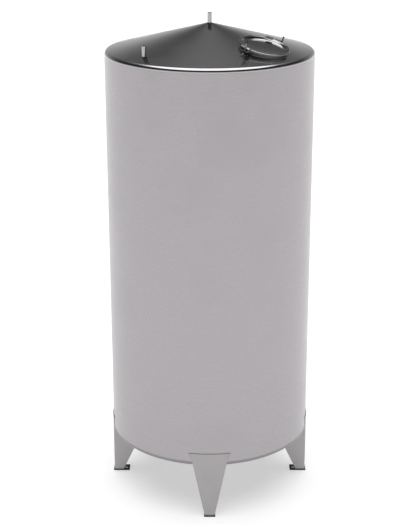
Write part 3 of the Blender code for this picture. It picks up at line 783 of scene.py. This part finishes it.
def finish(name):
    """The material of a finish, made on its first use."""
    known = bpy.data.materials.get(name)
    if known:
        return known
    colors = bpy.context.scene.tank_finishes
    makers = {
        "shell_satin": lambda: steel(name, colors.shell, 0.27, (5.0, 5.0, 650.0), 0.000012, marks=0.02, wave=0.0003),
        "head_bright": lambda: steel(name, colors.heads, 0.15, (5.0, 5.0, 5.0), 0.000004, contrast=0.04,
                                     mark_scale=2.5, wave=0.0003, brush=0.6),
        # The bottom's sheet colour is darker as painted shade under the tank; its duller roughness is the sheet's own.
        "head_dull_painted_shade": lambda: steel(name, colors.underside_painted_shade, 0.30, (5.0, 5.0, 5.0), 0.000004, contrast=0.04,
                                   mark_scale=2.5),
        "leg_satin": lambda: steel(name, colors.legs, 0.33, (9.0, 9.0, 420.0), 0.000012, contrast=0.06, marks=0.06,
                                   mark_scale=5.0),
        "tube_polished": lambda: steel(name, colors.tubes, 0.20, (60.0, 60.0, 900.0), 0.000008, mark_scale=20.0),
        # The bore colour is near black as painted shade inside the tube.
        "tube_bore_painted_shade": lambda: steel(name, colors.bores_painted_shade, 0.40, (60.0, 60.0, 60.0), 0.000008, mark_scale=20.0),
        "lid_polished": lambda: steel(name, colors.lid, 0.14, (240.0, 8.0, 8.0), 0.000004, mark_scale=9.0),
        "fitting_satin": lambda: steel(name, colors.fittings, 0.26, (500.0, 40.0, 40.0), 0.000010, contrast=0.08,
                                       marks=0.08, mark_scale=30.0),
        # The weld colour is dark partly as heat tint and mostly as painted contact shade where beads meet parts.
        "weld_tint_and_painted_shade": lambda: steel(name, colors.welds, 0.30, (700.0, 700.0, 700.0), 0.000012, contrast=0.12,
                                     marks=0.12, mark_scale=60.0),
        "handled_dark": lambda: handled(name, colors.dark),
        # The foot plates' near-black colour is painted dark reflection; their worn edges are real wear.
        "foot_painted_reflection": lambda: painted_reflection_plate(name, colors.plate_painted_reflection, colors.bare),
        "gasket_rubber": lambda: rubber(name, colors.rubber),
    }
    return makers[name]()


# Places


def roof_height(distance):
    """Height of the roof's outer side at a distance from the axis."""
    return ROOF_APEX - distance * math.tan(CONE_ANGLE)


def manway_matrix():
    """The manway's frame: X down the slope, Y along the rim, Z straight out of the roof."""
    outward = Vector((math.sin(MANWAY_AZIMUTH), -math.cos(MANWAY_AZIMUTH), 0.0))
    along = Vector((math.cos(MANWAY_AZIMUTH), math.sin(MANWAY_AZIMUTH), 0.0))
    up = Vector((0.0, 0.0, 1.0))
    slope = outward * math.cos(CONE_ANGLE) - up * math.sin(CONE_ANGLE)
    normal = outward * math.sin(CONE_ANGLE) + up * math.cos(CONE_ANGLE)
    matrix = Matrix((slope, along, normal)).transposed().to_4x4()
    matrix.translation = outward * MANWAY_DISTANCE + up * roof_height(MANWAY_DISTANCE)
    return matrix


def rim_matrix(angle, radius, height):
    """A place on the manway's rim: X outward, Y along the rim."""
    spot = Matrix.Translation((radius * math.cos(angle), radius * math.sin(angle), height))
    return manway_matrix() @ spot @ Matrix.Rotation(angle, 4, "Z")


def nozzle_base():
    """Where the roof nozzle's axis meets the roof."""
    across = NOZZLE_DISTANCE * math.sin(NOZZLE_AZIMUTH)
    return Vector((across, -NOZZLE_DISTANCE * math.cos(NOZZLE_AZIMUTH), roof_height(NOZZLE_DISTANCE)))


def head_outline(inset):
    """Half section of the roof's sheet, inset from its outer side, from the apex down to the skirt."""
    center = (SHELL_RADIUS - KNUCKLE_RADIUS, SHELL_TOP + HEAD_SKIRT + GAP)
    knuckle = arc(center, KNUCKLE_RADIUS - inset, 90.0 - math.degrees(CONE_ANGLE), 0.0, 10)
    apex = (0.0, ROOF_APEX - inset / math.cos(CONE_ANGLE))
    cone = [apex] + spread(apex, knuckle[0], 18)[:-1]
    cone.append(tuple(Vector(knuckle[0]).lerp(Vector(cone[-1]), 0.03)))
    return cone + knuckle + [(SHELL_RADIUS - inset, SHELL_TOP + GAP)]


def head_section():
    """The roof's closed section: outer side down, inner side up."""
    return head_outline(0.0) + list(reversed(head_outline(SHEET)))


def circle_on_roof(center, axis_frame, radius, steps, lift):
    """Where a tube along a frame's Z meets the roof."""
    up = axis_frame.col[2]
    points = []
    for step in range(steps):
        angle = math.tau * step / steps
        place = center + axis_frame @ Vector((radius * math.cos(angle), radius * math.sin(angle), 0.0))
        for _ in range(6):
            place = place - up * (place.z - roof_height(math.hypot(place.x, place.y)) - lift)
        points.append(place)
    return points


# Pieces


def build_shell():
    """The upright cylinder and its seams."""
    steps = bpy.context.scene.tank_sheet.round_steps
    wall = ring_profile(SHELL_RADIUS - SHEET, SHELL_RADIUS, SHELL_BOTTOM, SHELL_TOP, SHELL_EDGE, SHELL_ROWS)
    turned("shell_sheet", wall, steps, "shell_satin", "shell_steel", "tank", "shell")
    back = [(0.0, SHELL_RADIUS - SEAM_SINK, height) for height in (SHELL_BOTTOM + SEAM_END, SHELL_TOP - SEAM_END)]
    bead("shell_seam_weld", back, False, "shell_steel", bpy.context.scene.tank_welds.seam)
    foot = SHELL_RADIUS - SEAM_DEPTH
    for name, height in (("roof_seam_weld", SHELL_TOP), ("bottom_seam_weld", SHELL_BOTTOM)):
        turns = [math.radians(degrees) for degrees in range(90, -91, -30)]
        section = [(SHELL_RADIUS + SEAM_PROUD * (2.0 * math.cos(turn) - 1.0), height + SEAM_HALF * math.sin(turn))
                   for turn in turns]
        section += [(foot, height - SEAM_HALF), (foot, height + SEAM_HALF)]
        turned(name, section, steps, "shell_satin", "shell_steel", "tank", degrees=ROUND_SHARP_ANGLE)


def build_head(name, section, look, node, cutters):
    """A cone of sheet with its holes."""
    head = spun(name, section, bpy.context.scene.tank_sheet.round_steps, look, closed=False)
    head = cut_away(head, cutters)
    clean_mesh(head)
    shade(head)
    finish_piece(head, look, "roof_steel", "tank", node)


def build_heads():
    """The cone roof with its holes, and the cone bottom."""
    stub = STUB_RADIUS - HOLE_OVERLAP
    build_head("roof_sheet", head_section(), "head_bright", "roof_cone", [
        cylinder_cutter("manway_hole", NECK_RADIUS - 2.0 * HOLE_OVERLAP, 0.2, 128, manway_matrix()),
        cylinder_cutter("vent_hole", stub, 0.1, 48, Matrix.Translation((0.0, 0.0, ROOF_APEX))),
        cylinder_cutter("nozzle_hole", stub, 0.1, 48, Matrix.Translation(nozzle_base())),
    ])
    flipped = [(distance, SHELL_TOP + SHELL_BOTTOM - height) for distance, height in head_section()]
    # The bottom sheet takes the darker colour, painted shade under the tank.
    build_head("bottom_sheet", flipped, "head_dull_painted_shade", "bottom_cone", [
        cylinder_cutter("drain_hole", DRAIN_RADIUS - HOLE_OVERLAP, 0.1, 48,
                        Matrix.Translation((0.0, 0.0, BOTTOM_APEX))),
    ])


def leg_width(height):
    """Width of a leg at a height."""
    if height <= LEG_EDGE_HEIGHT:
        share = (height - FOOT_HEIGHT) / (LEG_EDGE_HEIGHT - FOOT_HEIGHT)
        return LEG_FOOT_WIDTH + (LEG_EDGE_WIDTH - LEG_FOOT_WIDTH) * share
    share = (height - LEG_EDGE_HEIGHT) / (LEG_LAP_TOP - LEG_EDGE_HEIGHT)
    return LEG_EDGE_WIDTH + (LEG_LAP_WIDTH - LEG_EDGE_WIDTH) * share


def leg_section(height, fold_steps):
    """The folded plate's outer line at a height, from one flange's end to the other's."""
    face = SHELL_RADIUS + LEG_SHEET - LEG_INSET
    bend = face - LEG_FOLD_RADIUS
    half = leg_width(height) / 2
    edge = math.asin((half - LEG_FOLD_RADIUS) / bend)
    fold = (bend * math.cos(edge), -bend * math.sin(edge))
    flange_end = SHELL_RADIUS - FLANGE_FOOT_DEPTH - FLANGE_LEAN * (height - FOOT_HEIGHT)
    side = [(flange_end, -half)] + spread((flange_end, -half), (fold[0], -half), 4)[:-1]
    side += arc(fold, LEG_FOLD_RADIUS, -90.0, -math.degrees(edge), fold_steps)
    across = arc((0.0, 0.0), face, -math.degrees(edge), math.degrees(edge), 24)[1:-1]
    return side + across + [(x, -y) for x, y in reversed(side)]


def vessel_cutter():
    """The space that the vessel takes from the legs."""
    center = (SHELL_RADIUS - KNUCKLE_RADIUS, SHELL_BOTTOM - HEAD_SKIRT - GAP)
    knuckle = arc(center, KNUCKLE_RADIUS + GAP, 0.0, -90.0 + math.degrees(CONE_ANGLE), 10)
    over = LEG_LAP_TOP + 0.1
    section = [(0.0, over), (SHELL_RADIUS + GAP, over), (SHELL_RADIUS + GAP, SHELL_BOTTOM)]
    section += knuckle + [(0.0, BOTTOM_APEX - GAP / math.cos(CONE_ANGLE))]
    return spun("vessel_space", section, 256, closed=False)


def build_leg(side, place):
    """One folded leg."""
    heights = [LEG_BOTTOM + (LEG_EDGE_HEIGHT - LEG_BOTTOM) * step / 8 for step in range(9)]
    heights += [LEG_EDGE_HEIGHT + (LEG_LAP_TOP - LEG_EDGE_HEIGHT) * step / 3 for step in range(1, 4)]
    fold_steps = bpy.context.scene.tank_sheet.fold_steps
    shape = bmesh.new()
    rows = [[shape.verts.new((x, y, height)) for x, y in leg_section(height, fold_steps)] for height in heights]
    skin(shape, rows, closed=False)
    bmesh.ops.recalc_face_normals(shape, faces=shape.faces)
    leg = object_from(shape, "leg_%s_plate" % side)
    thicken(leg, LEG_SHEET)
    leg = cut_away(leg, [vessel_cutter()])
    clean_mesh(leg, POLE_MERGE)
    leg.data.transform(place)
    shade(leg, CUT_SHARP_ANGLE)
    finish_piece(leg, "leg_satin", "leg_steel", "tank", "leg_" + side)


def build_leg_welds(side, place):
    """The fillet round a leg's lap on the shell, and round its foot on the plate."""
    radius = bpy.context.scene.tank_welds.legs
    seat = SHELL_RADIUS + LAP_WELD_SEAT
    heights = [SHELL_BOTTOM + (LEG_LAP_TOP - SHELL_BOTTOM) * step / 12 for step in range(13)]
    line = [(-math.asin((leg_width(height) / 2 - LAP_WELD_INSET) / seat), height) for height in heights]
    corner = line[-1][0]
    top = [(corner * (1.0 - step / 12), LEG_LAP_TOP) for step in range(1, 24)]
    line += top + [(-angle, height) for angle, height in reversed(line)]
    path = [place @ Vector((seat * math.cos(angle), seat * math.sin(angle), height)) for angle, height in line]
    bead("leg_%s_lap_weld" % side, path, False, "leg_steel", radius)
    half = leg_width(FOOT_HEIGHT) / 2
    path = [place @ Vector((x, y, LEG_BOTTOM + LEG_INSET)) for x, y in leg_section(LEG_BOTTOM, 4) if abs(y) <= half]
    bead("leg_%s_foot_weld" % side, path, False, "leg_steel", radius)


def build_legs():
    """The four legs with their welds, and the foot plates, near black as painted dark reflection, with worn edges."""
    for side, degrees in LEG_TURNS.items():
        place = Matrix.Rotation(math.radians(degrees), 4, "Z")
        build_leg(side, place)
        build_leg_welds(side, place)
        # Foot plates take the near-black painted reflection colour, with worn edges.
        dress("foot_plate_" + side, "foot_%s_plate" % side, "foot_painted_reflection", "foot_black", "tank", FOOT_EDGE)


def build_stub(name, node, radius, base, low, high):
    """One pipe stub with rounded lips, and a bore that is rough and near black as painted shade."""
    section = ring_profile(radius - STUB_WALL, radius, low, high, STUB_LIP)
    stub = turned(name, section, bpy.context.scene.tank_sheet.ring_steps // 2, "tube_polished", "pipe_steel", "tank",
                  node, matrix=Matrix.Translation(base))
    # Faces of the bore take the near-black colour, painted shade inside the tube.
    stub.data.materials.append(finish("tube_bore_painted_shade"))
    for face in stub.data.polygons:
        distance = (face.center - base).to_2d().length
        face.material_index = 1 if distance < radius - STUB_WALL * STUB_SHADED_BORE_SHARE else 0


def build_stubs():
    """The vent, the roof nozzle and the drain, with their welds."""
    apex = Vector((0.0, 0.0, ROOF_APEX - GAP))
    drain = Vector((0.0, 0.0, BOTTOM_APEX + GAP))
    build_stub("vent_tube", "vent_pipe", STUB_RADIUS, apex, -STUB_INSIDE, VENT_HEIGHT)
    build_stub("nozzle_tube", "roof_nozzle", STUB_RADIUS, nozzle_base(), -STUB_INSIDE, NOZZLE_HEIGHT)
    build_stub("drain_tube", "drain_nozzle", DRAIN_RADIUS, drain, -DRAIN_LENGTH, STUB_INSIDE)
    radius = bpy.context.scene.tank_welds.stubs
    for name, center in (("vent_weld", apex), ("nozzle_weld", nozzle_base())):
        path = circle_on_roof(center, Matrix.Identity(3), STUB_RADIUS + GAP, 48, GAP)
        bead(name, path, True, "pipe_steel", radius)
    ring = DRAIN_RADIUS + GAP
    height = BOTTOM_APEX + ring * math.tan(CONE_ANGLE) - GAP
    path = [(x, y, height) for x, y in arc((0.0, 0.0), ring, 0.0, 360.0, 48)[:-1]]
    bead("drain_weld", path, True, "pipe_steel", radius)


def build_neck():
    """The manway's lipped neck with its weld, and the gasket on its top edge."""
    steps = bpy.context.scene.tank_sheet.ring_steps
    manway = manway_matrix()
    under = NECK_TOP - NECK_LIP_HEIGHT
    bore = NECK_RADIUS - SHEET
    corners = [(NECK_LIP_RADIUS, NECK_TOP), (NECK_LIP_RADIUS, under), (NECK_RADIUS, under),
               (NECK_RADIUS, NECK_BOTTOM), (bore, NECK_BOTTOM), (bore, NECK_TOP)]
    turned("neck_ring", supported(rounded(corners, NECK_EDGE)), steps, "head_bright", "roof_steel", "tank",
           "manway_neck", matrix=manway)
    top = LID_TOP - LID_SHEET - GAP
    seat = NECK_TOP + GAP
    corners = [(GASKET_OUTER, top), (GASKET_OUTER, seat), (GASKET_INNER, seat), (GASKET_INNER, top)]
    turned("gasket_ring", rounded(corners, GASKET_EDGE, 4), steps, "gasket_rubber", "gasket_rubber", "tank",
           "manway_gasket", matrix=manway, degrees=SOFT_SHARP_ANGLE)
    path = circle_on_roof(manway.translation, manway.to_3x3(), NECK_RADIUS + NECK_WELD_GAP, 120, NECK_WELD_GAP)
    bead("neck_weld", path, True, "roof_steel", bpy.context.scene.tank_welds.neck)


def lid_outline():
    """The lid's upper side: a dish, a flat rim and an edge curled under."""
    floor = arc((0.0, LID_DISH_BOTTOM + LID_DISH_BEND), LID_DISH_BEND, -90.0, -86.2, 12)
    floor[0] = (0.0, LID_DISH_BOTTOM)
    corner = arc(LID_CORNER, LID_CORNER_RADIUS, -80.0, -18.0, 8)
    shoulder = arc(LID_SHOULDER, LID_SHOULDER_RADIUS, 162.0, 90.0, 6)
    curl = arc((LID_RADIUS - LID_CURL, LID_TOP - LID_CURL), LID_CURL, 90.0, -90.0, 12)
    return supported(floor + corner + shoulder + curl, closed=False)


def build_lid():
    """The pressed lid: its upper side is turned first, and gets its thickness downwards."""
    manway = manway_matrix()
    steps = bpy.context.scene.tank_sheet.ring_steps
    lid = spun("lid_open_sheet", lid_outline(), steps, "lid_polished", manway, closed=False)
    if sum(face.normal.dot(manway.col[2].to_3d()) for face in lid.data.polygons) < 0.0:
        lid.data.flip_normals()
    thicken(lid, LID_SHEET)
    lid = as_plain_mesh(lid, "lid_sheet")
    shade(lid, CUT_SHARP_ANGLE)
    finish_piece(lid, "lid_polished", "lid_steel", "lid", "manway_lid")


def build_hinge():
    """The hinge: bracket, arm, and the pin with its bent handle and knob."""
    dress("hinge_bracket", "hinge_bracket_plate", "fitting_satin", "fitting_steel", "tank")
    dress("lid_hinge_arm", "hinge_arm_strap", "fitting_satin", "fitting_steel", "lid")
    seat = rim_matrix(HINGE_ANGLE, HINGE_RADIUS, HINGE_HEIGHT) @ Matrix.Translation((0.0, HINGE_SHIFT, 0.0))
    handle = Vector((math.sin(PIN_LEAN), 0.0, math.cos(PIN_LEAN)))
    along = Vector((0.0, -1.0, 0.0))
    middle = along * (PIN_HALF + PIN_REACH) + handle * PIN_BEND
    points = [along * (PIN_TRIM - PIN_HALF - PIN_TAIL)]
    for step in range(13):
        turn = math.pi / 2 * step / 12
        points.append(middle - handle * PIN_BEND * math.cos(turn) + along * PIN_BEND * math.sin(turn))
    end = middle + along * PIN_BEND + handle * (PIN_HANDLE - PIN_BEND)
    points.append(end - handle * PIN_TRIM)
    pin = swept("hinge_pin_rod", [seat @ point for point in points], PIN_RADIUS, 24)
    shade(pin, SOFT_SHARP_ANGLE)
    finish_piece(pin, "handled_dark", "fitting_dark", "lid", "hinge_pin")
    low = -math.degrees(math.asin(KNOB_SEAT))
    ball = arc((0.0, KNOB_RADIUS * KNOB_SEAT), KNOB_RADIUS, 90.0, low, 16)
    section = [(0.0, ball[0][1])] + ball[1:] + [(0.0, ball[-1][1])]
    place = seat @ Matrix.Translation(end + handle * GAP) @ Matrix.Rotation(PIN_LEAN, 4, "Y")
    turned("hinge_pin_ball", section, 32, "handled_dark", "fitting_dark", "lid", "hinge_pin_knob",
           matrix=place, closed=False)


def build_latch():
    """The latch: lug, bracket, threaded screw and wing nut."""
    dress("latch_lug", "latch_lug_plate", "fitting_satin", "fitting_steel", "lid")
    dress("latch_bracket", "latch_bracket_plate", "fitting_satin", "fitting_steel", "tank")
    dress("latch_wing", "latch_wing_nut", "handled_dark", "fitting_dark", "lid", WING_EDGE)
    seat = rim_matrix(LATCH_ANGLE, LATCH_RADIUS, 0.0)
    corners = [(0.0, SCREW_TOP), (SCREW_CORE, SCREW_TOP), (SCREW_CORE, COLLAR_TOP),
               (COLLAR_RADIUS, COLLAR_TOP), (COLLAR_RADIUS, COLLAR_BOTTOM), (SCREW_CORE, COLLAR_BOTTOM),
               (SCREW_CORE, SCREW_BOTTOM + SCREW_POINT_HEIGHT), (SCREW_CORE - SCREW_POINT, SCREW_BOTTOM),
               (0.0, SCREW_BOTTOM)]
    turned("latch_screw_rod", rounded(corners, SCREW_EDGE, 2, closed=False), 48, "fitting_satin", "fitting_steel",
           "lid", "latch_screw", matrix=seat, closed=False)
    for name, (start, length) in (("latch_lower_thread", LOWER_THREAD), ("latch_upper_thread", UPPER_THREAD)):
        place = seat @ Matrix.Translation((0.0, 0.0, start))
        source = line_object(name + "_line", [(0.0, 0.0), (SCREW_RADIUS, 0.0)], place)
        thread = tree_piece(source, name, screw_thread, "fitting_satin", Radius=SCREW_RADIUS - THREAD_RIDGE,
                            Pitch=THREAD_PITCH, Length=length, Ridge=THREAD_RIDGE)
        shade(thread, THREAD_SHARP_ANGLE)
        finish_piece(thread, "fitting_satin", "fitting_steel", "lid")


# Stage


def ramp_value(tree, value, stops):
    """A brightness by degrees from a list of stops."""
    span = stops[-1][0]
    ramp = add_node(tree, "ShaderNodeValToRGB", {"Fac": operate(tree, "DIVIDE", value, math.radians(span))})
    elements = ramp.color_ramp.elements
    while len(elements) > 1:
        elements.remove(elements[-1])
    for degrees, level in stops:
        element = elements.new(degrees / span) if degrees > stops[0][0] else elements[0]
        element.position = degrees / span
        element.color = (level, level, level, 1.0)
    return ramp.outputs["Color"]


def build_world():
    """A studio: a bright far wall, a pale skirting all round and one round softbox overhead."""
    world = bpy.data.worlds.new("tank_studio")
    bpy.context.scene.world = world
    world.use_nodes = True
    tree = world.node_tree
    toward = add_node(tree, "ShaderNodeTexCoord").outputs["Generated"]
    across, away, up = add_node(tree, "ShaderNodeSeparateXYZ", {0: toward}).outputs
    height = operate(tree, "ARCSINE", operate(tree, "MAXIMUM", up, 0.0))
    turn = operate(tree, "ARCTAN2", operate(tree, "ABSOLUTE", across), away)
    ahead = in_range(tree, turn, *map(math.radians, AHEAD_EDGE), 1.0, SIDE_SHARE)
    skirting = in_range(tree, height, *map(math.radians, SKIRTING_EDGE), SKIRTING_SHARE, 0.0)
    softbox = in_range(tree, height, *map(math.radians, SOFTBOX_EDGE), 0.0, 1.0)
    glow = ramp_value(tree, height, HORIZON_GLOW)
    low = operate(tree, "MULTIPLY", glow, operate(tree, "MAXIMUM", ahead, skirting))
    high = operate(tree, "MULTIPLY", softbox, bpy.context.scene.tank_studio.softbox)
    feed(tree, tree.nodes["Background"],
         {"Color": (1.0, 1.0, 1.0, 1.0), "Strength": operate(tree, "ADD", low, high)})


def build_floor():
    """A pale floor."""
    settings = bpy.context.scene.tank_studio
    shape = bmesh.new()
    bmesh.ops.create_circle(shape, cap_ends=True, segments=96, radius=settings.floor_radius)
    floor = object_from(shape, "studio_floor")
    material = bpy.data.materials.new("floor_pale")
    material.use_nodes = True
    tone = settings.floor_tone
    feed(material.node_tree, material.node_tree.nodes["Principled BSDF"],
         {"Base Color": (tone, tone, tone, 1.0), "Roughness": 1.0, "Specular IOR Level": 0.0,
          "Emission Color": (1.0, 1.0, 1.0, 1.0), "Emission Strength": settings.floor_glow})
    floor.data.materials.append(material)


def build_camera():
    """The camera at the photo's angle, and a plain view transform."""
    settings = bpy.context.scene.tank_studio
    data = bpy.data.cameras.new("tank_camera")
    data.lens = settings.lens
    data.sensor_width = 36.0
    data.clip_start = 0.1
    data.clip_end = 400.0
    camera = add_object("tank_camera", data)
    camera.location = (settings.camera_side, -settings.camera_back, settings.camera_height)
    camera.rotation_euler = (math.pi / 2 - settings.camera_pitch, 0.0, 0.0)
    bpy.context.scene.camera = camera
    bpy.context.scene.view_settings.view_transform = "Standard"


# Operators and panel


class TANK_OT_shell(bpy.types.Operator):
    """Build the shell and its seams."""

    bl_idname = "tank.shell"
    bl_label = "Shell"

    def execute(self, context):
        build_shell()
        return {"FINISHED"}


class TANK_OT_heads(bpy.types.Operator):
    """Build the cone roof and the cone bottom."""

    bl_idname = "tank.heads"
    bl_label = "Roof and bottom"

    def execute(self, context):
        build_heads()
        return {"FINISHED"}


class TANK_OT_legs(bpy.types.Operator):
    """Build the legs, their welds and their foot plates."""

    bl_idname = "tank.legs"
    bl_label = "Legs and feet"

    def execute(self, context):
        build_legs()
        return {"FINISHED"}


class TANK_OT_stubs(bpy.types.Operator):
    """Build the pipe stubs and their welds."""

    bl_idname = "tank.stubs"
    bl_label = "Pipe stubs"

    def execute(self, context):
        build_stubs()
        return {"FINISHED"}


class TANK_OT_manway(bpy.types.Operator):
    """Build the manway's neck, gasket and lid."""

    bl_idname = "tank.manway"
    bl_label = "Manway"

    def execute(self, context):
        build_neck()
        build_lid()
        return {"FINISHED"}


class TANK_OT_hinge(bpy.types.Operator):
    """Build the lid's hinge."""

    bl_idname = "tank.hinge"
    bl_label = "Hinge"

    def execute(self, context):
        build_hinge()
        return {"FINISHED"}


class TANK_OT_latch(bpy.types.Operator):
    """Build the lid's latch."""

    bl_idname = "tank.latch"
    bl_label = "Latch"

    def execute(self, context):
        build_latch()
        return {"FINISHED"}


class TANK_OT_stage(bpy.types.Operator):
    """Build the floor, the light and the camera."""

    bl_idname = "tank.stage"
    bl_label = "Studio"

    def execute(self, context):
        build_world()
        build_floor()
        build_camera()
        return {"FINISHED"}


class TANK_PT_dressing(bpy.types.Panel):
    """Lists what the dressing can build."""

    bl_idname = "TANK_PT_dressing"
    bl_label = "Storage tank"
    bl_space_type = "VIEW_3D"
    bl_region_type = "UI"
    bl_category = "Tank"

    def draw(self, context):
        for operator in OPERATORS:
            self.layout.operator(operator.bl_idname)
        for key in SETTINGS:
            group = getattr(context.scene, key)
            for name in group.__annotations__:
                self.layout.prop(group, name)


OPERATORS = (TANK_OT_shell, TANK_OT_heads, TANK_OT_legs, TANK_OT_stubs, TANK_OT_manway, TANK_OT_hinge,
             TANK_OT_latch, TANK_OT_stage)
SETTINGS = {"tank_sheet": TankSheetSettings, "tank_welds": TankWeldSettings, "tank_finishes": TankFinishSettings,
            "tank_studio": TankStudioSettings}
CLASSES = (*SETTINGS.values(), *OPERATORS, TANK_PT_dressing)


def register():
    """Register the classes and their settings."""
    for cls in CLASSES:
        bpy.utils.register_class(cls)
    for name, cls in SETTINGS.items():
        setattr(bpy.types.Scene, name, PointerProperty(type=cls))


def unregister():
    """Remove the classes and their settings."""
    for name in SETTINGS:
        delattr(bpy.types.Scene, name)
    for cls in reversed(CLASSES):
        bpy.utils.unregister_class(cls)


def main():
    """Build every piece and the studio."""
    register()
    for operator in OPERATORS:
        getattr(bpy.ops.tank, operator.bl_idname.split(".")[1])()


if __name__ == "__main__":
    main()
